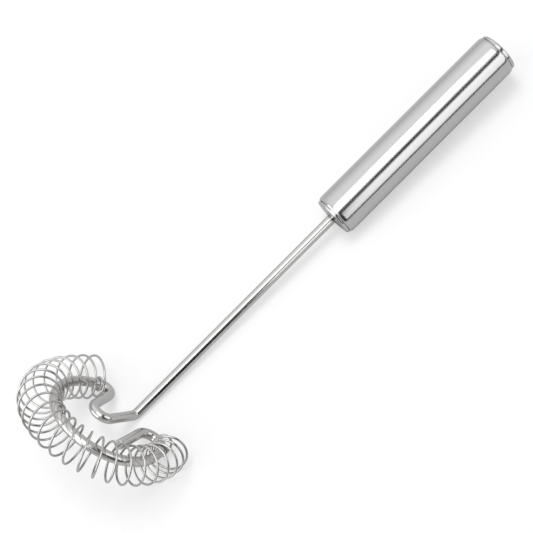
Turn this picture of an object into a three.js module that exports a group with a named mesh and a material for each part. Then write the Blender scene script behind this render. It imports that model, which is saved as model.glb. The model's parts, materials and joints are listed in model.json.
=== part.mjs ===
// A spiral whisk in stainless steel: a tube handle closed by two caps, one thick
// wire bent into shaft, neck, open ring and tail, and a thin wire coil threaded on
// the ring. Millimetres, +Z up. The whisk lies as on a table, with its ring standing
// up and the shaft along X.

import * as THREE from 'three';

// The thick wire. Its shaft runs along X, and all that follows the knee lies in
// one plane, the ring plane, which rises from the shaft.
const wireDiameter = 4.4;
const shaftLength = 120.7; // from the corner of the knee to the face of the front cap
const wireGrip = 22; // how far the wire runs on inside the handle
const ringPlaneAngle = 63.8; // degrees between the shaft and the ring plane
const kneeRadius = 3.2;
const returnLegLength = 15.2; // from the corner of the knee to the U bend
const uBendRadius = 5;
const neckLegLength = 12;
const neckLegSplay = 17.2; // degrees between the neck leg and the ring's centre line
const neckBendRadius = 4.1;
const neckRunLength = 3; // straight, under the tight turns at the neck end
const ringRadius = 25.1;
const neckEndAngle = 65.4; // degrees from the centre line to the ring's neck end
const tailEndAngle = 63.3; // degrees from the centre line to the ring's tail end
const tailRunLength = 3.9; // straight, under the tight turns at the tail end
const tailBendRadius = 5.7;
const tailLegSplay = 14;
const tailLegLength = 17.4;

// The coil spring. Its big turns hang outside the ring and a tight turn at each end
// grips the thick wire. The shape of the big turns drifts from the neck to the tail,
// so these values are given at even stations of their count.
const coilWireDiameter = 1;
const bigTurns = 23.95;
const coilPhase = 162; // degrees
// along the thick wire, from the start of the neck run
const coilAlong = [3.4, 13.7, 25.5, 37.2, 48.8, 60.6, 73, 85, 96.3, 105.7];
// to the middle of the thin wire
const loopRadius = [10.08, 9.66, 9.23, 8.82, 8.53, 8.31, 8.12];
// how far the middle of a turn lies outside the thick wire, and above the ring plane
const loopOffset = [5.83, 5.27, 4.95, 4.93, 4.78, 3.96, 3.28];
const loopRise = [-2.22, -2.53, -2.28, -1.16, 0.53, 2.34, 2.96];
// how far a turn's outer side lies nearer to the tail, and its upper side
const loopLean = [-0.2, -0.3, 0.1, 0.7, 0.2];
const loopTwist = [-0.3, -1.5, -0.6, -0.2, 0];
const tightTurns = 1;
const tightPitch = 1.55;
const flareTurns = 0.5; // in which a tight turn opens to a big one

// The handle: a plain tube, with a cap pressed into each end.
const tubeDiameter = 20;
const tubeLength = 99.2;
const tubeWall = 1.3;
const tubeEdgeRadius = 1;
const capEdgeRadius = 0.8;
const frontCapHead = 1.1; // how far the head of the front cap stands out of the tube
const endCapHead = 1.6;
const capInset = 0.7; // how much smaller than the tube a cap's head is, all round
const capWall = 1;
const capSkirtLength = 8;
const sleeveLength = 14; // behind the front cap's web, round the wire
const sleeveWall = 2;

// What every piece keeps from its neighbour.
const clearance = 0.3;

// How finely the round shapes are divided.
const wireSides = 14;
const handleSides = 48;
const edgeSteps = 4;
const bendStepAngle = 15;
const ringStepAngle = 6;
const curlSteps = 8;
const curlSides = 5;

const wireRadius = wireDiameter / 2;
const coilWireRadius = coilWireDiameter / 2;
const tubeRadius = tubeDiameter / 2;
const radians = THREE.MathUtils.degToRad;

// A wire as a bending machine makes it: straight runs and round bends, one after
// the other. It is divided by element, so that the bends get most of the steps.
class BentWire extends THREE.Curve {
  constructor(start, heading) {
    super();
    this.elements = [];
    this.end = start.clone();
    this.heading = heading.clone();
    this.fullLength = 0;
    this.steps = 0;
  }

  addElement(element) {
    element.start = this.end.clone();
    element.heading = this.heading.clone();
    element.from = this.fullLength;
    element.firstStep = this.steps;
    this.elements.push(element);
    this.fullLength += element.length;
    this.steps += element.steps;
    const finish = this.place(element, element.length);
    this.end.copy(finish.point);
    this.heading.copy(finish.heading);
    return this;
  }

  straight(length) {
    return this.addElement({ length, steps: 1 });
  }

  // A positive angle turns the heading anticlockwise about the axis.
  bend(radius, angle, axis, stepAngle = bendStepAngle) {
    const length = radius * radians(Math.abs(angle));
    const steps = Math.ceil(Math.abs(angle) / stepAngle);
    return this.addElement({ length, steps, radius, angle: radians(angle), axis });
  }

  place(element, along) {
    if (!element.radius) {
      const point = element.start.clone().addScaledVector(element.heading, along);
      return { point, heading: element.heading.clone() };
    }
    const side = Math.sign(element.angle);
    const toCentre = element.axis.clone().cross(element.heading).multiplyScalar(side * element.radius);
    const centre = element.start.clone().add(toCentre);
    const turn = element.angle * along / element.length;
    const point = toCentre.negate().applyAxisAngle(element.axis, turn).add(centre);
    return { point, heading: element.heading.clone().applyAxisAngle(element.axis, turn) };
  }

  placeAtLength(length) {
    const inside = this.elements.filter((element) => element.from <= length);
    const element = inside[inside.length - 1];
    return this.place(element, length - element.from);
  }

  placeAtStep(share) {
    const step = share * this.steps;
    const inside = this.elements.filter((element) => element.firstStep <= step);
    const element = inside[inside.length - 1];
    return this.place(element, (step - element.firstStep) / element.steps * element.length);
  }

  getPoint(share) {
    return this.placeAtStep(share).point;
  }

  getPointAt(share) {
    return this.getPoint(share);
  }

  getTangent(share) {
    return this.placeAtStep(share).heading;
  }

  getTangentAt(share) {
    return this.getTangent(share);
  }
}

// The ring plane holds the Y axis and a centre line, which points down through the
// ring's opening. Its normal is on the shaft's side.
const planeAngle = radians(ringPlaneAngle);
const centreLine = new THREE.Vector3(Math.cos(planeAngle), 0, -Math.sin(planeAngle));
const planeNormal = new THREE.Vector3(Math.sin(planeAngle), 0, Math.cos(planeAngle));
const lateral = new THREE.Vector3(0, 1, 0);

function makeWirePath() {
  const kneeSetback = kneeRadius * Math.tan(planeAngle / 2);
  const innerEnd = new THREE.Vector3(shaftLength + wireGrip, 0, 0);
  const path = new BentWire(innerEnd, new THREE.Vector3(-1, 0, 0));
  path.straight(wireGrip + shaftLength - kneeSetback);
  path.bend(kneeRadius, ringPlaneAngle, lateral);
  path.straight(returnLegLength - kneeSetback);
  path.bend(uBendRadius, neckLegSplay - 180, planeNormal);
  path.straight(neckLegLength);
  path.bend(neckBendRadius, 90 + neckEndAngle - neckLegSplay, planeNormal);
  path.coilFrom = path.fullLength;
  path.straight(neckRunLength);
  path.bend(ringRadius, 360 - neckEndAngle - tailEndAngle, planeNormal, ringStepAngle);
  path.straight(tailRunLength);
  path.bend(tailBendRadius, 90 + tailEndAngle + tailLegSplay, planeNormal);
  path.straight(tailLegLength);
  return path;
}

function makeWire(path) {
  const section = new THREE.Shape();
  section.absarc(0, 0, wireRadius, 0, 2 * Math.PI);
  return new THREE.ExtrudeGeometry(section, {
    steps: path.steps,
    curveSegments: wireSides / 2, // for each half of the circle
    extrudePath: path,
  });
}

// A value between even stations, on a smooth curve through them.
function between(stations, share) {
  const last = stations.length - 1;
  const place = THREE.MathUtils.clamp(share, 0, 1) * last;
  const i = Math.min(Math.floor(place), last - 1);
  const at = place - i;
  const [b, c] = [stations[i], stations[i + 1]];
  const a = i > 0 ? stations[i - 1] : 2 * b - c;
  const d = i + 2 <= last ? stations[i + 2] : 2 * c - b;
  return b + at / 2 * (c - a + at * (2 * a - 5 * b + 4 * c - d + at * (3 * (b - c) + d - a)));
}

// The coil's middle line. Its turns lie tight at both ends, and in between they open
// into loops that hang outside the ring.
const tightRadius = (wireRadius + coilWireRadius + clearance) / Math.cos(Math.PI / curlSteps);

function makeCoilLine(path) {
  const endTurns = tightTurns + flareTurns;
  const count = Math.round((bigTurns + 2 * endTurns) * curlSteps);
  const points = [];
  for (let i = 0; i <= count; i++) {
    const turn = i / curlSteps - endTurns; // counted from the first big turn
    const share = turn / bigTurns;
    const beyond = Math.max(-turn, turn - bigTurns, 0);
    const open = 1 - THREE.MathUtils.smoothstep(beyond, 0, flareTurns);
    const angle = radians(coilPhase) - 2 * Math.PI * turn;
    const lean = between(loopLean, share) * Math.cos(angle) + between(loopTwist, share) * Math.sin(angle);
    const radius = THREE.MathUtils.lerp(tightRadius, between(loopRadius, share), open);
    const along = path.coilFrom + between(coilAlong, share) + Math.sign(turn) * beyond * tightPitch;
    const { point, heading } = path.placeAtLength(along);
    const outward = heading.clone().cross(planeNormal);
    point.addScaledVector(heading, open * lean);
    point.addScaledVector(outward, open * between(loopOffset, share) + radius * Math.cos(angle));
    point.addScaledVector(planeNormal, open * between(loopRise, share) + radius * Math.sin(angle));
    points.push(point);
  }
  return points;
}

// Both ends of the thin wire run straight for one diameter.
function addStraightEnds(points) {
  const last = points.length - 1;
  const first = points[0].clone().sub(points[1]).setLength(coilWireDiameter).add(points[0]);
  const finish = points[last].clone().sub(points[last - 1]).setLength(coilWireDiameter).add(points[last]);
  return [first, ...points, finish];
}

// The least gap of the thin wire to itself, between points half a turn or more apart.
function leastGap(points) {
  let least = Infinity;
  for (let i = 0; i < points.length; i++) {
    for (let j = i + curlSteps / 2; j < points.length; j++) {
      least = Math.min(least, points[i].distanceTo(points[j]));
    }
  }
  return least - coilWireDiameter;
}

// One unbroken tube round a line of points, closed by a flat face at both ends.
function makeTube(points, radius, sides) {
  const positions = [];
  const side = new THREE.Vector3(0, 0, 1);
  points.forEach((point, i) => {
    const before = points[Math.max(i - 1, 0)];
    const after = points[Math.min(i + 1, points.length - 1)];
    const heading = after.clone().sub(before).normalize();
    side.addScaledVector(heading, -side.dot(heading)).normalize();
    const up = heading.clone().cross(side);
    for (let k = 0; k < sides; k++) {
      const angle = 2 * Math.PI * k / sides;
      const corner = point.clone().addScaledVector(side, radius * Math.cos(angle));
      corner.addScaledVector(up, radius * Math.sin(angle));
      positions.push(corner.x, corner.y, corner.z);
    }
  });
  const faces = [];
  for (let i = 0; i < points.length - 1; i++) {
    for (let k = 0; k < sides; k++) {
      const a = i * sides + k;
      const b = i * sides + (k + 1) % sides;
      faces.push(a, b, b + sides, a, b + sides, a + sides);
    }
  }
  const lastRing = (points.length - 1) * sides;
  for (let k = 1; k < sides - 1; k++) {
    faces.push(0, k + 1, k, lastRing, lastRing + k, lastRing + k + 1);
  }
  const geometry = new THREE.BufferGeometry();
  geometry.setAttribute('position', new THREE.Float32BufferAttribute(positions, 3));
  geometry.setIndex(faces);
  return geometry;
}

// The handle's pieces are turned round the shaft. A profile is a list of points
// (radius, place along X), anticlockwise with the radius to the right.
function roundedEdge(radius, place, edge, from, to) {
  const points = [];
  for (let i = 0; i <= edgeSteps; i++) {
    const angle = THREE.MathUtils.lerp(from, to, i / edgeSteps);
    points.push([radius + edge * Math.cos(radians(angle)), place + edge * Math.sin(radians(angle))]);
  }
  return points;
}

function turned(profile) {
  const points = profile.map(([radius, place]) => new THREE.Vector2(radius, place));
  const geometry = new THREE.LatheGeometry([...points, points[0]], handleSides);
  return geometry.rotateZ(-Math.PI / 2);
}

const capRadius = tubeRadius - capInset;
const capEdgeStart = capRadius - capEdgeRadius;
const skirtRadius = tubeRadius - tubeWall - clearance;
const boreRadius = wireRadius + clearance;
const tubeFrom = shaftLength + frontCapHead + clearance;
const tubeTo = tubeFrom + tubeLength;

function makeTubeHandle() {
  const inner = tubeRadius - tubeWall;
  const edge = tubeRadius - tubeEdgeRadius;
  return turned([
    [inner, tubeFrom],
    ...roundedEdge(edge, tubeFrom + tubeEdgeRadius, tubeEdgeRadius, -90, 0),
    ...roundedEdge(edge, tubeTo - tubeEdgeRadius, tubeEdgeRadius, 0, 90),
    [inner, tubeTo],
  ]);
}

function makeFrontCap() {
  const shoulder = tubeFrom - clearance;
  const web = shoulder + capWall;
  return turned([
    [boreRadius, shaftLength],
    ...roundedEdge(capEdgeStart, shaftLength + capEdgeRadius, capEdgeRadius, -90, 0),
    [capRadius, shoulder],
    [skirtRadius, shoulder],
    [skirtRadius, shoulder + capSkirtLength],
    [skirtRadius - capWall, shoulder + capSkirtLength],
    [skirtRadius - capWall, web],
    [boreRadius + sleeveWall, web],
    [boreRadius + sleeveWall, web + sleeveLength],
    [boreRadius, web + sleeveLength],
  ]);
}

function makeEndCap() {
  const shoulder = tubeTo + clearance;
  return turned([
    [0, shoulder - capWall],
    [skirtRadius - capWall, shoulder - capWall],
    [skirtRadius - capWall, shoulder - capSkirtLength],
    [skirtRadius, shoulder - capSkirtLength],
    [skirtRadius, shoulder],
    [capRadius, shoulder],
    ...roundedEdge(capEdgeStart, shoulder + endCapHead - capEdgeRadius, capEdgeRadius, 0, 90),
    [0, shoulder + endCapHead],
  ]);
}

const steel = { color: 0xc9c9c6, roughness: 0.22, metalness: 1 };
const finishes = {
  satin: new THREE.MeshStandardMaterial({ ...steel, roughness: 0.3 }),
  polished: new THREE.MeshStandardMaterial(steel),
  bright: new THREE.MeshStandardMaterial({ ...steel, color: 0xd6d6d4, roughness: 0.15 }),
};

function addPiece(group, name, geometry, finish) {
  const mesh = new THREE.Mesh(geometry, finishes[finish].clone());
  mesh.name = name;
  group.add(mesh);
  return mesh;
}

const wirePath = makeWirePath();
const coilLine = addStraightEnds(makeCoilLine(wirePath));
console.log(`least gap of the coil to itself: ${leastGap(coilLine).toFixed(2)} mm`);

const whisk = new THREE.Group();
addPiece(whisk, 'handle_tube', makeTubeHandle(), 'satin');
addPiece(whisk, 'front_cap', makeFrontCap(), 'polished');
addPiece(whisk, 'end_cap', makeEndCap(), 'polished');
addPiece(whisk, 'bent_wire', makeWire(wirePath), 'polished');
addPiece(whisk, 'coil_spring', makeTube(coilLine, coilWireRadius, curlSides), 'bright');

// The whisk settles on its knee, on the bend of its tail and on the front edge of its
// handle: it is turned until the lowest points of the three are level.
function corners(mesh) {
  const position = mesh.geometry.attributes.position;
  const { count } = position;
  return Array.from({ length: count }, (_, i) => new THREE.Vector3().fromBufferAttribute(position, i));
}

function lowest(points, turn) {
  const turnedPoints = points.map((point) => point.clone().applyQuaternion(turn));
  return turnedPoints.reduce((low, point) => (point.z < low.z ? point : low));
}

function settle(group) {
  const wire = corners(group.getObjectByName('bent_wire'));
  const feet = [
    wire.filter((point) => Math.abs(point.y) < wireDiameter && point.x < 2 * wireDiameter),
    wire.filter((point) => point.y < -wireDiameter),
    corners(group.getObjectByName('handle_tube')),
  ];
  const turn = new THREE.Quaternion();
  const up = new THREE.Vector3(0, 0, 1);
  const settlingRounds = 12;
  for (let round = 0; round < settlingRounds; round++) {
    const [knee, tail, handle] = feet.map((points) => lowest(points, turn));
    const floorNormal = knee.sub(handle).cross(tail.sub(handle)).normalize();
    if (floorNormal.z < 0) floorNormal.negate();
    turn.premultiply(new THREE.Quaternion().setFromUnitVectors(floorNormal, up));
  }
  group.quaternion.copy(turn);
}

settle(whisk);

// The origin is on the table, under the middle of the whisk.
const model = new THREE.Group();
model.add(whisk);
model.updateMatrixWorld(true);
const bounds = new THREE.Box3().setFromObject(model, true);
const middle = bounds.getCenter(new THREE.Vector3());
whisk.position.set(-middle.x, -middle.y, -bounds.min.z);

export default model;
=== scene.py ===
# %% [markdown]
# # A spiral whisk in stainless steel
# A spiral whisk beats a sauce on the bottom of a pan. A thick wire leaves a tube
# handle, turns sharply at a knee and opens into a ring, and a thin wire coil is
# threaded on the ring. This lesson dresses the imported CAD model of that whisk: it sets
# the camera and the studio, models each piece again with smooth round surfaces, and
# gives each one its steel. Sizes are in metres, and one value turns millimetres into
# them.

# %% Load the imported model
import json
import math

import bpy
from mathutils import Matrix, Quaternion, Vector


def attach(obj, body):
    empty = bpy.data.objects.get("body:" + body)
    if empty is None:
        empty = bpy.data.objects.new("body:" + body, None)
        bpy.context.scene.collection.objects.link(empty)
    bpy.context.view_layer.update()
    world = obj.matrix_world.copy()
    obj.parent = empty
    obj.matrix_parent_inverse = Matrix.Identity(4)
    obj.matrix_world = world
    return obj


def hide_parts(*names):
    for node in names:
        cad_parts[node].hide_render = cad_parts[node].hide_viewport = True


MM = 0.001

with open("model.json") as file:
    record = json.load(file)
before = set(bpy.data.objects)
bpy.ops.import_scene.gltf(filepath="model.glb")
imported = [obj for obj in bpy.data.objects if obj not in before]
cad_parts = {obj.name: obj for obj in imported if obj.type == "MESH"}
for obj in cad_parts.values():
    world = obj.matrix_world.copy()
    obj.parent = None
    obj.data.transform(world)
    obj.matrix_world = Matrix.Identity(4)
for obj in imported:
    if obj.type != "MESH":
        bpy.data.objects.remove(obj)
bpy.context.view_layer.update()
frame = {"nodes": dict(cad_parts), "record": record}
print("nodes:", sorted(frame["nodes"]))

# %% [markdown]
# ## Where the whisk lies
# Every piece is easiest to model with the shaft along X and the corner of the knee at
# the origin. The whisk itself lies nose down on its knee and on the front edge of the
# handle. The record says where the flat butt of the handle is and which way it faces,
# and that is enough to carry each finished piece to its place.

# %% The whisk's own frame
SHAFT_LENGTH = 120.7 * MM
TUBE_LENGTH = 99.2 * MM
FRONT_HEAD = 1.1 * MM  # how far a cap's head stands out of the tube
END_HEAD = 1.6 * MM
GAP = 0.3 * MM  # between a cap and the tube
ROLL = math.radians(-0.263)  # how far the whisk leans over as it lies

butt_face = next(mount for mount in frame["record"]["mounts"] if mount["name"] == "butt_face")
shaft_axis = Vector(butt_face["axis"]).normalized()
whisk_length = SHAFT_LENGTH + FRONT_HEAD + TUBE_LENGTH + END_HEAD + 2 * GAP
knee_place = Vector(butt_face["pos_m"]) - whisk_length * shaft_axis
level_side = Vector((0, 0, 1)).cross(shaft_axis).normalized()
level_up = shaft_axis.cross(level_side)
whisk_turn = Matrix((shaft_axis, level_side, level_up)).transposed()
whisk_place = (Matrix.Translation(knee_place) @ whisk_turn.to_4x4()
               @ Matrix.Rotation(ROLL, 4, "X"))
print("knee at", [round(value / MM, 2) for value in knee_place], "mm")

# %% [markdown]
# ## The camera
# The picture is taken from about two thirds of a metre, high over the whisk, with the
# handle towards the upper right. A long lens keeps the handle almost as wide at both
# ends. A camera could be set by eye, but a small error shows at the far ends of a long
# thing, so its place and its turn were fitted to the bends of the wire.

# %% Camera
CAMERA_PLACE = (-57.82 * MM, -281.79 * MM, 590.58 * MM)
CAMERA_TURN = (22.3035, 14.7127, -41.4208)  # degrees
LENS = 101.31  # mm
SENSOR_WIDTH = 36  # mm
NEAREST_SEEN = 10 * MM

bpy.ops.object.camera_add(
    location=CAMERA_PLACE, rotation=[math.radians(degrees) for degrees in CAMERA_TURN])
camera = bpy.context.object
camera.name = "camera"
camera.data.lens = LENS
camera.data.sensor_width = SENSOR_WIDTH
camera.data.clip_start = NEAREST_SEEN
bpy.context.scene.camera = camera
bpy.context.scene.view_settings.view_transform = "Standard"
print("camera at", [round(value, 3) for value in camera.location])

# %% [markdown]
# ## Materials, one helper for nodes
# Steel has no pattern of its own: what the eye sees is the studio in it. So each finish
# is a metal whose roughness says how sharp that picture is, with fine lines or grain
# from the way its surface was made. One function adds a node with its settings and its
# links, and one turns an sRGB hex colour into the linear colour that a shader reads.

# %% Colour and node helpers


def linear_colour(hex_colour):
    """The linear colour of an sRGB hex value, by the curve of the sRGB standard."""
    values = [int(hex_colour[start:start + 2], 16) / 255 for start in (1, 3, 5)]
    linear = [value / 12.92 if value <= 0.04045 else ((value + 0.055) / 1.055) ** 2.4
              for value in values]
    return (*linear, 1)


def add_node(tree, kind, settings=None, values=None, links=None):
    node = tree.nodes.new(kind)
    for name, value in (settings or {}).items():
        setattr(node, name, value)
    for socket, value in (values or {}).items():
        node.inputs[socket].default_value = value
    for socket, source in (links or {}).items():
        tree.links.new(source, node.inputs[socket])
    return node


def new_material(name):
    material = bpy.data.materials.new(name)
    material.use_nodes = True
    material.node_tree.nodes.clear()
    return material, material.node_tree


# %% [markdown]
# ## The table
# The whisk lies on a plain pale table. Polished steel shows the studio as stripes along
# its length: white for a lamp, dark for the gap between two lamps, grey for the table.
# So each stripe in the steel says where a lamp stands. Everything has its place in the
# room, so it stays put when the camera moves.
#
# A small thing on white is photographed so bright that the table vanishes. More light
# would do that, but it would wash out the steel too. So the table that the camera sees
# also shines by itself, more so far from the whisk, and a soft shadow is left round it.
# The steel sees the same table as plain grey.

# %% Floor
FLOOR_SIZE = 4.0

bpy.ops.object.select_all(action="DESELECT")
bpy.ops.mesh.primitive_plane_add(size=FLOOR_SIZE, location=(0, 0, 0))
floor = bpy.context.object
floor.name = "floor"
print("floor:", FLOOR_SIZE, "m square")

# %% White table top
TABLE_IN_STEEL = "#A8A8A8"
TABLE_IN_CAMERA = "#939393"  # its glow is added to this
NEAR, NEAR_GLOW = 0.35, 0.5  # within so many metres of the middle a shadow has to show
FAR, FAR_GLOW = 1.2, 1.0
MIX_FIRST, MIX_SECOND, MIX_RESULT = 6, 7, 2  # the colour sockets of a Mix node

floor_material, tree = new_material("White table top")
light_path = add_node(tree, "ShaderNodeLightPath")
paint_colour = add_node(
    tree, "ShaderNodeMix", {"data_type": "RGBA"},
    {MIX_FIRST: linear_colour(TABLE_IN_STEEL), MIX_SECOND: linear_colour(TABLE_IN_CAMERA)},
    {"Factor": light_path.outputs["Is Camera Ray"]})
table_paint = add_node(
    tree, "ShaderNodeBsdfDiffuse", links={"Color": paint_colour.outputs[MIX_RESULT]})
floor_place = add_node(tree, "ShaderNodeTexCoord")
distance = add_node(
    tree, "ShaderNodeVectorMath", {"operation": "LENGTH"},
    links={0: floor_place.outputs["Object"]})
glow_here = add_node(
    tree, "ShaderNodeMapRange",
    values={"From Min": NEAR, "From Max": FAR, "To Min": NEAR_GLOW, "To Max": FAR_GLOW},
    links={"Value": distance.outputs["Value"]})
glow_level = add_node(
    tree, "ShaderNodeMath", {"operation": "MULTIPLY"},
    links={0: light_path.outputs["Is Camera Ray"], 1: glow_here.outputs[0]})
table_glow = add_node(
    tree, "ShaderNodeEmission", values={"Color": (1, 1, 1, 1)},
    links={"Strength": glow_level.outputs[0]})
table_sum = add_node(
    tree, "ShaderNodeAddShader", links={0: table_paint.outputs[0], 1: table_glow.outputs[0]})
add_node(tree, "ShaderNodeOutputMaterial", links={"Surface": table_sum.outputs[0]})
floor.data.materials.append(floor_material)
print("made", floor_material.name)

# %% [markdown]
# ## The room
# The walls are light grey and grow lighter towards one slanted direction, up and back.
# A picture of a studio could be wrapped round the scene, but a ramp of a few greys is
# plainer, and what the steel shows between two lamps says how light each one is. The
# camera sees white instead, which goes on from the edge of the table.

# %% Walls
ROOM_LIGHT_SIDE = (0.2, 0.57, 0.8)
# Each level follows how far a place in the room lies towards the light side, from -1 to 1.
ROOM_LEVELS = [
    (-1, 0.3), (-0.6, 0.35), (-0.1, 0.47), (0.2, 0.62),
    (0.6, 0.68), (0.8, 0.84), (0.92, 0.97), (1, 1.12),
]
BRIGHTEST = 2.0  # a ramp's own colours end at 1

world = bpy.data.worlds.new("studio")
bpy.context.scene.world = world
world.use_nodes = True
tree = world.node_tree
tree.nodes.clear()
room = add_node(tree, "ShaderNodeTexCoord")
slant = add_node(
    tree, "ShaderNodeVectorMath", {"operation": "DOT_PRODUCT"}, {1: ROOM_LIGHT_SIDE},
    {0: room.outputs["Generated"]})
share = add_node(
    tree, "ShaderNodeMapRange", values={"From Min": -1, "From Max": 1},
    links={"Value": slant.outputs["Value"]})
walls = add_node(tree, "ShaderNodeValToRGB", links={"Fac": share.outputs[0]})
ramp = walls.color_ramp
greys = [(*[level / BRIGHTEST] * 3, 1) for _, level in ROOM_LEVELS]
ramp.elements[0].color = greys[0]
ramp.elements[-1].color = greys[-1]
for (slant_value, _), grey in list(zip(ROOM_LEVELS, greys))[1:-1]:
    ramp.elements.new((slant_value + 1) / 2).color = grey
background = add_node(
    tree, "ShaderNodeBackground", values={"Strength": BRIGHTEST},
    links={"Color": walls.outputs[0]})
white = add_node(tree, "ShaderNodeBackground", values={"Color": (1, 1, 1, 1), "Strength": 1})
world_path = add_node(tree, "ShaderNodeLightPath")
seen = add_node(tree, "ShaderNodeMixShader", links={
    0: world_path.outputs["Is Camera Ray"], 1: background.outputs[0], 2: white.outputs[0]})
add_node(tree, "ShaderNodeOutputWorld", links={"Surface": seen.outputs[0]})
print("room levels:", len(ROOM_LEVELS))

# %% [markdown]
# ## The lamps
# Three large softboxes give the white stripes: one above, one on the left and one on the
# right, which leans because its stripe runs a little askew to the handle. The key lamp
# gives the shadow beside the whisk. It is hidden from reflections, where it would be one
# more bright line. Glowing cards would shine as well, but area lamps give less grain.

# %% Softboxes


def turned_to(place, aim, face, twist):
    """The turn of a flat thing that looks from one place to another, twisted in degrees."""
    turn = (Vector(aim) - Vector(place)).to_track_quat(face, "Y")
    return (turn @ Quaternion((0, 0, 1), math.radians(twist))).to_euler()


def add_softbox(name, place, aim, size, level, twist=0):
    """A soft lamp whose face shines at a level, where white paper in plain light is 1."""
    bpy.ops.object.light_add(type="AREA", location=place)
    lamp = bpy.context.object
    lamp.name = name
    lamp.rotation_euler = turned_to(place, aim, "-Z", twist)
    lamp.data.shape = "RECTANGLE"
    lamp.data.size, lamp.data.size_y = size
    lamp.data.energy = level * math.pi * size[0] * size[1]
    lamp.visible_camera = False
    print(name, "at", place, "power", round(lamp.data.energy, 2))
    return lamp


add_softbox("top_softbox", place=(-0.25, -0.2, 1.0), aim=(-0.25, -0.2, 0),
            size=(1.3, 0.6), level=1.5, twist=20)
add_softbox("left_softbox", place=(-1.15, 0.3, 0.75), aim=(-0.1, 0, 0),
            size=(1.4, 1.3), level=1.5)
add_softbox("right_softbox", place=(0.5, -0.86, 0.58), aim=(0.1, 0, 0.05),
            size=(1.48, 0.86), level=0.96, twist=6)
key_lamp = add_softbox("key_lamp", place=(0.14, 0.14, 1.0), aim=(0, 0, 0),
                       size=(0.4, 0.4), level=12)
key_lamp.visible_glossy = False

# %% [markdown]
# ## Dark things in the room
# Steel also shows what is dark: the stand and the arm of the camera, whose dark line
# runs along the shaft, a gap between the lamps that runs the length of the handle, and
# the foot of the wall on the right. They are cards that only reflections see, so they
# take no light from the table. Cloth this dark looks the same in any light, and a faint
# glow draws it.

# %% Dark cards


def add_dark_card(name, place, aim, size, hex_colour, twist=0):
    bpy.ops.object.select_all(action="DESELECT")
    bpy.ops.mesh.primitive_plane_add(size=1, location=place)
    card = bpy.context.object
    card.name = name
    card.scale = (*size, 1)
    card.rotation_euler = turned_to(place, aim, "Z", twist)
    cloth, tree = new_material("Dark cloth of " + name)
    dark = add_node(
        tree, "ShaderNodeEmission", values={"Color": linear_colour(hex_colour), "Strength": 1})
    add_node(tree, "ShaderNodeOutputMaterial", links={"Surface": dark.outputs[0]})
    card.data.materials.append(cloth)
    for ray in ("camera", "diffuse", "transmission", "volume_scatter", "shadow"):
        setattr(card, "visible_" + ray, False)
    print(name, "at", place)


add_dark_card("camera_stand", place=(-0.13, -0.45, 0.33), aim=(-0.1, 0, 0),
              size=(0.22, 0.6), hex_colour="#202020")
add_dark_card("camera_arm", place=(-0.017, -0.28, 0.206), aim=(-0.017, 0, 0),
              size=(0.09, 0.36), hex_colour="#303030")
add_dark_card("lamp_gap", place=(0.37, -0.335, 0.63), aim=(0.37, -0.335, 0),
              size=(1.3, 0.22), hex_colour="#101010", twist=-15)
add_dark_card("wall_foot", place=(0.6, -1.3, 0.11), aim=(0.6, 0, 0.11),
              size=(2.4, 0.24), hex_colour="#101010")

# %% [markdown]
# ## Modelling helpers
# An operator works on everything that is selected, so each step first picks its faces
# or edges by their place. A finished piece is carried to where the whisk lies, and its
# place goes into its mesh, so that its object stands at the origin.

# %% Picking faces and edges
NEARLY = 0.05 * MM  # places closer than this count as the same
FACING = 0.9  # how much of a face's normal lies along the shaft


def pick(piece, kind, test):
    """Selects in edit mode the faces that pass a test, or the edges whose ends do."""
    bpy.ops.object.mode_set(mode="EDIT")
    bpy.ops.mesh.select_mode(type=kind)
    bpy.ops.mesh.select_all(action="DESELECT")
    bpy.ops.object.mode_set(mode="OBJECT")
    mesh = piece.data
    if kind == "FACE":
        for face in mesh.polygons:
            face.select = test(face)
    else:
        for edge in mesh.edges:
            edge.select = all(test(mesh.vertices[index].co) for index in edge.vertices)
    bpy.ops.object.mode_set(mode="EDIT")


def from_shaft(point):
    return math.hypot(point[1], point[2])


def discs(face):
    """A test for the round faces in the middle of a bar."""
    return abs(face.normal.x) > FACING and from_shaft(face.center) < NEARLY


def end_faces(place):
    """A test for the faces that look along the shaft at a place on it."""
    return lambda face: abs(face.normal.x) > FACING and abs(face.center.x - place) < NEARLY


def stretch_of_bar(place, length):
    """A test for the corners no further along the shaft than a length from a place."""
    return lambda corner: abs(corner.x - place) < length + NEARLY


def rim(place, radius):
    """A test for the corners of a circle round the shaft."""
    return lambda corner: (abs(corner.x - place) < NEARLY
                           and abs(from_shaft(corner) - radius) < NEARLY)


print("picks to within", NEARLY / MM, "mm")

# %% Adding and finishing a piece


def add_bar(name, start, end, radius, sides):
    """A round bar along the shaft, to be cut into shape."""
    bpy.ops.object.select_all(action="DESELECT")
    bpy.ops.mesh.primitive_cylinder_add(
        vertices=sides, radius=radius, depth=end - start,
        location=((start + end) / 2, 0, 0), rotation=(0, math.radians(90), 0))
    bar = bpy.context.object
    bar.name = bar.data.name = name
    bpy.ops.object.transform_apply(location=True, rotation=True, scale=True)
    return bar


def select_only(piece):
    bpy.ops.object.select_all(action="DESELECT")
    piece.select_set(True)
    bpy.context.view_layer.objects.active = piece


def finish_piece(piece, node, material, smooth_angle=30):
    """Lays a modelled piece in its place, gives it its steel and hides the CAD part that it stands
    for.
    """
    bpy.ops.object.mode_set(mode="OBJECT")
    select_only(piece)
    piece.matrix_world = whisk_place @ piece.matrix_world
    bpy.ops.object.transform_apply(location=True, rotation=True, scale=True)
    bpy.ops.object.shade_smooth_by_angle(angle=math.radians(smooth_angle))
    piece.data.materials.clear()
    piece.data.materials.append(material)
    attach(piece, "root")
    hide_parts(node)
    print(piece.name, "faces:", len(piece.data.polygons), "stands for", node)


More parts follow.
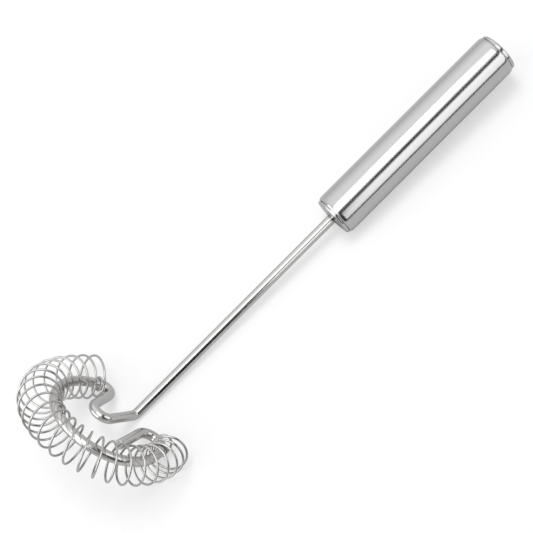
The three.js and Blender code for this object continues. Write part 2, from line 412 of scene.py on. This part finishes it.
# %% [markdown]
# ## The tube's steel
# All of the whisk is stainless steel of the 18/10 kind. The tube was ground along its
# length and then lightly polished, so the eye sees the lamps in it with soft edges, and
# fine lines that run from end to end. A picture of scratches would have a seam. A noise
# that is stretched along the tube has none, and it is turned as the tube lies.

# %% Ground tube steel
TUBE_GRAIN = 0.35 * MM  # between grinding lines: real ones are finer and wouldn't show
TUBE_GRAIN_LENGTH = 45 * MM
RELIEF_DEPTH = 0.02 * MM


def finish_steel(tree, colour, smoothest, roughest, relief, pattern):
    """Ends a steel, with a pattern from 0 to 1 for its roughness and its faint relief."""
    roughness = add_node(
        tree, "ShaderNodeMapRange",
        values={"From Min": 0.3, "From Max": 0.7, "To Min": smoothest, "To Max": roughest},
        links={"Value": pattern})
    bump = add_node(
        tree, "ShaderNodeBump", values={"Strength": relief, "Distance": RELIEF_DEPTH},
        links={"Height": pattern})
    steel = add_node(
        tree, "ShaderNodeBsdfPrincipled",
        values={"Base Color": linear_colour(colour), "Metallic": 1},
        links={"Roughness": roughness.outputs[0], "Normal": bump.outputs[0]})
    add_node(tree, "ShaderNodeOutputMaterial", links={"Surface": steel.outputs[0]})


tube_steel, tree = new_material("Stainless steel tube, ground and polished")
tube_place = add_node(tree, "ShaderNodeTexCoord")
laid = add_node(
    tree, "ShaderNodeMapping", {"vector_type": "TEXTURE"},
    {"Rotation": whisk_place.to_euler()}, {"Vector": tube_place.outputs["Object"]})
drawn_out = add_node(
    tree, "ShaderNodeMapping", {"vector_type": "POINT"},
    {"Scale": (1 / TUBE_GRAIN_LENGTH, 1 / TUBE_GRAIN, 1 / TUBE_GRAIN)},
    {"Vector": laid.outputs[0]})
grain = add_node(
    tree, "ShaderNodeTexNoise", values={"Scale": 1, "Detail": 3, "Roughness": 0.6},
    links={"Vector": drawn_out.outputs[0]})
finish_steel(tree, "#CCCBCB", smoothest=0.12, roughest=0.22, relief=0.07,
             pattern=grain.outputs["Fac"])
print("made", tube_steel.name)

# %% [markdown]
# ## The polished steels
# The caps were pressed and polished. The thick wire was drawn, bent and tumbled until it
# shone, but its sheared ends stayed dull. The thin wire is bright from the drawing die,
# and so narrow that the eye sees a white core between two dark sides. They differ only
# in colour, in roughness and in the size of the faint patches that the polish left, so
# one function makes all four.

# %% Polished steels
POLISH_RELIEF = 0.03


def make_polished_steel(name, colour, smoothest, roughest, mark_size):
    """Polished steel with faint uneven patches left by the wheel, of a size in mm."""
    material, tree = new_material(name)
    place = add_node(tree, "ShaderNodeTexCoord")
    marks = add_node(
        tree, "ShaderNodeTexNoise",
        values={"Scale": 1 / (mark_size * MM), "Detail": 4, "Roughness": 0.6},
        links={"Vector": place.outputs["Object"]})
    finish_steel(tree, colour, smoothest, roughest, POLISH_RELIEF, marks.outputs["Fac"])
    print("made", name)
    return material


cap_steel = make_polished_steel(
    "Stainless steel, pressed and polished", "#CAC9C9",
    smoothest=0.14, roughest=0.22, mark_size=1.5)
wire_steel = make_polished_steel(
    "Stainless steel wire, drawn and tumbled", "#CDCCCB",
    smoothest=0.13, roughest=0.21, mark_size=1.2)
spring_steel = make_polished_steel(
    "Stainless spring wire, bright drawn", "#C4C3C2",
    smoothest=0.06, roughest=0.13, mark_size=0.8)
cut_steel = make_polished_steel(
    "Stainless steel, sheared across", "#A6A6A6",
    smoothest=0.4, roughest=0.6, mark_size=0.4)

# %% [markdown]
# ## The handle tube
# The real tube is cut from drawn pipe and its edges are turned round. A bar of the right
# length is the quickest start: both ends are inset by the wall, the two inner discs are
# bridged, which opens the bore, and the outer edges are bevelled. Stretched along the
# tube, a bevel gets the long soft curve of an edge that was rolled in.

# %% Handle tube
HANDLE_SIDES = 128
TUBE_RADIUS = 10 * MM
TUBE_WALL = 1.3 * MM
TUBE_EDGE = 0.6 * MM
EDGE_STRETCH = 3.5  # the turned edge is this much longer than it is deep
EDGE_SEGMENTS = 6
TUBE_START = SHAFT_LENGTH + FRONT_HEAD + GAP
TUBE_END = TUBE_START + TUBE_LENGTH

handle = add_bar("handle", TUBE_START, TUBE_END, TUBE_RADIUS, HANDLE_SIDES)
pick(handle, "FACE", discs)
bpy.ops.mesh.inset(thickness=TUBE_WALL, use_individual=True)
bpy.ops.mesh.bridge_edge_loops()
for place in (TUBE_START, TUBE_END):
    pick(handle, "EDGE", rim(place, TUBE_RADIUS))
    bpy.ops.mesh.bevel(offset=TUBE_EDGE, segments=EDGE_SEGMENTS, affect="EDGES")
    pick(handle, "EDGE", stretch_of_bar(place, TUBE_EDGE))
    bpy.ops.transform.resize(value=(EDGE_STRETCH, 1, 1), center_override=(place, 0, 0))
finish_piece(handle, "handle_tube", tube_steel)

# %% [markdown]
# ## The end cap
# Each cap is pressed from sheet. Its flat head is a little smaller than the tube and has
# a rounded edge, and its skirt goes into the tube. A cap could be spun from a profile,
# but a short bar has the head already: the skirt is drawn out of its back and hollowed.

# %% Cap helpers and the end cap
CAP_RADIUS = 9.3 * MM
CAP_EDGE = 0.8 * MM
CAP_WALL = 1 * MM
SKIRT_RADIUS = TUBE_RADIUS - TUBE_WALL - GAP
SKIRT_LENGTH = 8 * MM


def add_skirt(cap, shoulder, inward):
    """Draws the skirt out of the back of a cap's head, and hollows it."""
    pick(cap, "FACE", end_faces(shoulder))
    bpy.ops.mesh.inset(thickness=CAP_RADIUS - SKIRT_RADIUS)
    bpy.ops.mesh.extrude_region_move(
        TRANSFORM_OT_translate={"value": (inward * SKIRT_LENGTH, 0, 0)})
    bpy.ops.mesh.inset(thickness=CAP_WALL)
    bpy.ops.mesh.extrude_region_move(
        TRANSFORM_OT_translate={"value": (-inward * (SKIRT_LENGTH - CAP_WALL), 0, 0)})


def round_head(cap, place):
    pick(cap, "EDGE", rim(place, CAP_RADIUS))
    bpy.ops.mesh.bevel(offset=CAP_EDGE, segments=EDGE_SEGMENTS, affect="EDGES")


END_SHOULDER = TUBE_END + GAP
BUTT = END_SHOULDER + END_HEAD
end_cap = add_bar("butt_cap", END_SHOULDER, BUTT, CAP_RADIUS, HANDLE_SIDES)
add_skirt(end_cap, END_SHOULDER, -1)
round_head(end_cap, BUTT)
finish_piece(end_cap, "end_cap", cap_steel)

# %% [markdown]
# ## The front cap
# The front cap is the same pressing with a hole for the wire. A hole could be cut out
# with a second shape, but the cut leaves ragged faces. Here the head and the floor of
# the hollow are inset down to the wire, and bridging their two inner discs opens it.

# %% Front cap
WIRE_RADIUS = 2.2 * MM
BORE_RADIUS = WIRE_RADIUS + 0.05 * MM
FRONT_SHOULDER = TUBE_START - GAP
HOLLOW_FLOOR = FRONT_SHOULDER + CAP_WALL

front_cap = add_bar("front_cap_head", SHAFT_LENGTH, FRONT_SHOULDER, CAP_RADIUS, HANDLE_SIDES)
add_skirt(front_cap, FRONT_SHOULDER, 1)
round_head(front_cap, SHAFT_LENGTH)
pick(front_cap, "FACE", end_faces(SHAFT_LENGTH))
bpy.ops.mesh.inset(thickness=CAP_RADIUS - CAP_EDGE - BORE_RADIUS)
pick(front_cap, "FACE", end_faces(HOLLOW_FLOOR))
bpy.ops.mesh.inset(thickness=SKIRT_RADIUS - CAP_WALL - BORE_RADIUS)
pick(front_cap, "FACE", discs)
bpy.ops.mesh.bridge_edge_loops()
finish_piece(front_cap, "front_cap", cap_steel)

# %% [markdown]
# ## The list of runs and bends
# A wire bender feeds straight wire, then turns it round a pin, and goes on down its list
# of runs and bends. A drawn curve could give the middle line too, but here one such list
# drives two things. The next step bends the wire from it, and the coil is wound later
# along the same middle line.

# %% The list of runs and bends
WIRE_GRIP = 22 * MM  # the end that is hidden in the handle
KNEE_ANGLE = 63.8  # degrees
KNEE_RADIUS = 3.2 * MM
NECK_SLANT = 17.2  # degrees between the return leg and the neck leg
NECK_END_ANGLE = 65.4  # where the ring starts, from the middle of its mouth
TAIL_END_ANGLE = 63.3  # where it ends, on the other side
TAIL_SLANT = 14  # degrees between the return leg and the tail leg
RING_RADIUS = 25.1 * MM

ring_tilt = math.radians(KNEE_ANGLE)
across = Vector((0, 1, 0))
plane_normal = Vector((math.sin(ring_tilt), 0, math.cos(ring_tilt)))
knee_setback = KNEE_RADIUS * math.tan(ring_tilt / 2)

# (length,) is a straight run, and (radius, degrees, axis, steps) is a bend. Two short
# runs lead into the ring and out of it.
WIRE_RUNS = [
    (WIRE_GRIP + SHAFT_LENGTH - knee_setback,),  # shaft
    (KNEE_RADIUS, KNEE_ANGLE, across, 12),
    (15.2 * MM - knee_setback,),  # return leg
    (5 * MM, NECK_SLANT - 180, plane_normal, 32),  # U bend
    (12 * MM,),  # neck leg
    (4.1 * MM, 90 + NECK_END_ANGLE - NECK_SLANT, plane_normal, 26),  # hairpin at the neck
    (3 * MM,),
    (RING_RADIUS, 360 - NECK_END_ANGLE - TAIL_END_ANGLE, plane_normal, 90),
    (3.9 * MM,),
    (5.7 * MM, 90 + TAIL_END_ANGLE + TAIL_SLANT, plane_normal, 30),  # hairpin at the tail
    (17.4 * MM,),  # tail leg
]
COIL_FIRST_RUN = 6  # the coil begins on the short run before the ring


def walk_wire():
    """The start, heading and travelled length of each run, and the turning centres."""
    point, heading = Vector((SHAFT_LENGTH + WIRE_GRIP, 0, 0)), Vector((-1, 0, 0))
    travelled = 0.0
    stretches = []
    for run in WIRE_RUNS:
        stretch = {"start": point.copy(), "heading": heading.copy(), "from": travelled, "run": run}
        if len(run) == 1:
            stretch["length"] = run[0]
            point = point + heading * run[0]
        else:
            radius, degrees, axis, _ = run
            turn = math.radians(degrees)
            stretch["length"] = radius * abs(turn)
            stretch["centre"] = point + axis.cross(heading) * radius * math.copysign(1, turn)
            rotation = Matrix.Rotation(turn, 3, axis)
            point = stretch["centre"] + rotation @ (point - stretch["centre"])
            heading = rotation @ heading
        travelled += stretch["length"]
        stretches.append(stretch)
    return stretches


stretches = walk_wire()
wire_length = stretches[-1]["from"] + stretches[-1]["length"]
print("wire length:", round(wire_length / MM, 1), "mm")

# %% [markdown]
# ## The bent wire
# The whisk hangs together by this one thick wire. It is drawn round, so its mesh starts
# as one circle, and each step of the list has its own operator: a straight run is an
# extrusion and a bend is a spin. That keeps every section round and square to the wire,
# which a bent bar doesn't. Last, both ends are closed with a flat face and a small
# bevel, and the sheared faces get the duller steel.

# %% Bent wire
WIRE_SIDES = 40
WIRE_END_EDGE = 0.5 * MM
WIRE_END_SEGMENTS = 3

bpy.ops.object.select_all(action="DESELECT")
bpy.ops.mesh.primitive_circle_add(
    vertices=WIRE_SIDES, radius=WIRE_RADIUS, fill_type="NOTHING",
    location=stretches[0]["start"], rotation=(0, math.radians(90), 0))
wire = bpy.context.object
wire.name = wire.data.name = "thick_wire"
bpy.ops.object.transform_apply(location=True, rotation=True, scale=True)
bpy.ops.object.mode_set(mode="EDIT")
bpy.ops.mesh.select_mode(type="EDGE")
bpy.ops.mesh.select_all(action="SELECT")
for stretch in stretches:
    if "centre" in stretch:
        radius, degrees, axis, steps = stretch["run"]
        bpy.ops.mesh.spin(
            steps=steps, angle=-math.radians(degrees), center=stretch["centre"], axis=axis)
    else:
        move = stretch["heading"] * stretch["length"]
        bpy.ops.mesh.extrude_region_move(TRANSFORM_OT_translate={"value": move})
bpy.ops.mesh.select_all(action="DESELECT")
bpy.ops.mesh.select_non_manifold()
bpy.ops.mesh.edge_face_add()
bpy.ops.mesh.bevel(offset=WIRE_END_EDGE, segments=WIRE_END_SEGMENTS, affect="EDGES")
bpy.ops.mesh.select_all(action="SELECT")
bpy.ops.mesh.normals_make_consistent(inside=False)
finish_piece(wire, "bent_wire", wire_steel, smooth_angle=40)
wire.data.materials.append(cut_steel)
for face in wire.data.polygons:
    if len(face.vertices) == WIRE_SIDES:
        face.material_index = 1  # the two cut ends

# %% [markdown]
# ## The shape of the coil
# The coil is a long soft spring that was pulled over the ring before its ends were bent.
# Its loops are wider than the thick wire and hang on the outside of the ring, and a
# tight turn at each end holds it. An even screw would be easy, but the real loops are
# not even: their size, their place and their lean drift from the neck to the tail. So
# each of these is given at even stations, with a smooth curve between them.

# %% Stations from the neck to the tail, in millimetres
BIG_TURNS = 23.95
COIL_START_ANGLE = math.radians(162)
# How far the turns have come along the wire.
COIL_ALONG = [1.55, 9.74, 18.83, 28.15, 37.19, 45.96, 54.74, 63.74, 72.93, 82.06, 90.96, 99.52, 107]
LOOP_RADIUS = [9.33, 9.13, 9.14, 8.83, 8.49, 8.26, 8.09, 7.96, 7.86]
# The middle of a loop lies outwards from the ring, and above its plane.
LOOP_OFFSET = [2.79, 3.74, 5.12, 5.56, 5.51, 5.42, 5.17, 4.72, 4.21, 3.9, 3.7]
LOOP_RISE = [1.14, -1.16, -2.58, -2.76, -2.08, -1.12, -0.09, 0.97, 2.04, 2.74, 3.1]
# Its outer side leans towards the tail, and so does its upper side.
LOOP_LEAN = [0.62, -0.13, -0.29, -0.19, 0.09, 0.42, 0.65, 0.59, 0.4]
LOOP_TWIST = [1.21, 0.8, -0.91, -1.16, -0.64, -0.39, -0.2, 0.11, 0.3]


def between(stations, share):
    """A value between even stations, on a smooth curve through them."""
    place = min(max(share, 0), 1) * (len(stations) - 1)
    index = min(int(place), len(stations) - 2)
    padded = [2 * stations[0] - stations[1], *stations, 2 * stations[-1] - stations[-2]]
    a, b, c, d = padded[index:index + 4]
    at = place - index
    return b + at / 2 * (c - a + at * (2 * a - 5 * b + 4 * c - d + at * (3 * (b - c) + d - a)))


print("halfway round, a loop's radius is", round(between(LOOP_RADIUS, 0.5), 2), "mm")

# %% [markdown]
# ## Winding the coil
# A spring is wound by turning the wire while it moves along. No operator does that along
# a bent path, so the middle line of the thin wire comes from a formula: an angle that
# keeps turning, carried along the thick wire. A curve with a round section through its
# points then becomes the mesh, which keeps the thin wire equally thick all along.

# %% Places along the thick wire


def place_along_wire(length):
    """The point and the heading at a length along the wire's middle line."""
    stretch = [item for item in stretches if item["from"] <= length][-1]
    along = length - stretch["from"]
    if "centre" not in stretch:
        return stretch["start"] + stretch["heading"] * along, stretch["heading"]
    centre = stretch["centre"]
    _, degrees, axis, _ = stretch["run"]
    rotation = Matrix.Rotation(math.radians(degrees) * along / stretch["length"], 3, axis)
    return centre + rotation @ (stretch["start"] - centre), rotation @ stretch["heading"]


coil_start = stretches[COIL_FIRST_RUN]["from"]
print("the coil starts", round(coil_start / MM, 1), "mm along the wire")

# %% The coil's middle line
TIGHT_RADIUS = 2.8  # mm
TIGHT_TURNS = 1
TIGHT_PITCH = 1.55  # mm
FLARE_TURNS = 0.5  # how soon a tight turn opens into the big ones
TURN_STEPS = 40


def smooth_step(share):
    share = min(max(share, 0), 1)
    return share * share * (3 - 2 * share)


def coil_points():
    end_turns = TIGHT_TURNS + FLARE_TURNS
    points = []
    for step in range(round((BIG_TURNS + 2 * end_turns) * TURN_STEPS) + 1):
        turn = step / TURN_STEPS - end_turns  # counted from the first big turn
        share = turn / BIG_TURNS
        beyond = max(-turn, turn - BIG_TURNS, 0)
        open_share = 1 - smooth_step(beyond / FLARE_TURNS)
        angle = COIL_START_ANGLE - 2 * math.pi * turn
        radius = TIGHT_RADIUS + (between(LOOP_RADIUS, share) - TIGHT_RADIUS) * open_share
        lean = (between(LOOP_LEAN, share) * math.cos(angle)
                + between(LOOP_TWIST, share) * math.sin(angle))
        along = between(COIL_ALONG, share) + math.copysign(beyond, turn) * TIGHT_PITCH
        point, heading = place_along_wire(coil_start + along * MM)
        outward = open_share * between(LOOP_OFFSET, share) + radius * math.cos(angle)
        upward = open_share * between(LOOP_RISE, share) + radius * math.sin(angle)
        points.append(point + MM * (
            open_share * lean * heading
            + outward * heading.cross(plane_normal) + upward * plane_normal))
    return points


line = coil_points()
print("points on the coil's line:", len(line))

# %% Coil
COIL_WIRE_RADIUS = 0.5 * MM
COIL_WIRE_ROUNDNESS = 3  # a bevel resolution, which gives ten sides
SAME_PLACE = 0.001 * MM  # a curve's end faces come loose, and are merged with its sides

spring_curve = bpy.data.curves.new("coil", "CURVE")
spring_curve.dimensions = "3D"
spring_curve.bevel_depth = COIL_WIRE_RADIUS
spring_curve.bevel_resolution = COIL_WIRE_ROUNDNESS
spring_curve.use_fill_caps = True
thread = spring_curve.splines.new("POLY")
thread.points.add(len(line) - 1)
for corner, point in zip(thread.points, line):
    corner.co = (*point, 1)
coil = bpy.data.objects.new("coil", spring_curve)
bpy.context.collection.objects.link(coil)
select_only(coil)
bpy.ops.object.convert(target="MESH")
bpy.ops.object.mode_set(mode="EDIT")
bpy.ops.mesh.select_all(action="SELECT")
bpy.ops.mesh.remove_doubles(threshold=SAME_PLACE)
finish_piece(coil, "coil_spring", spring_steel, smooth_angle=60)
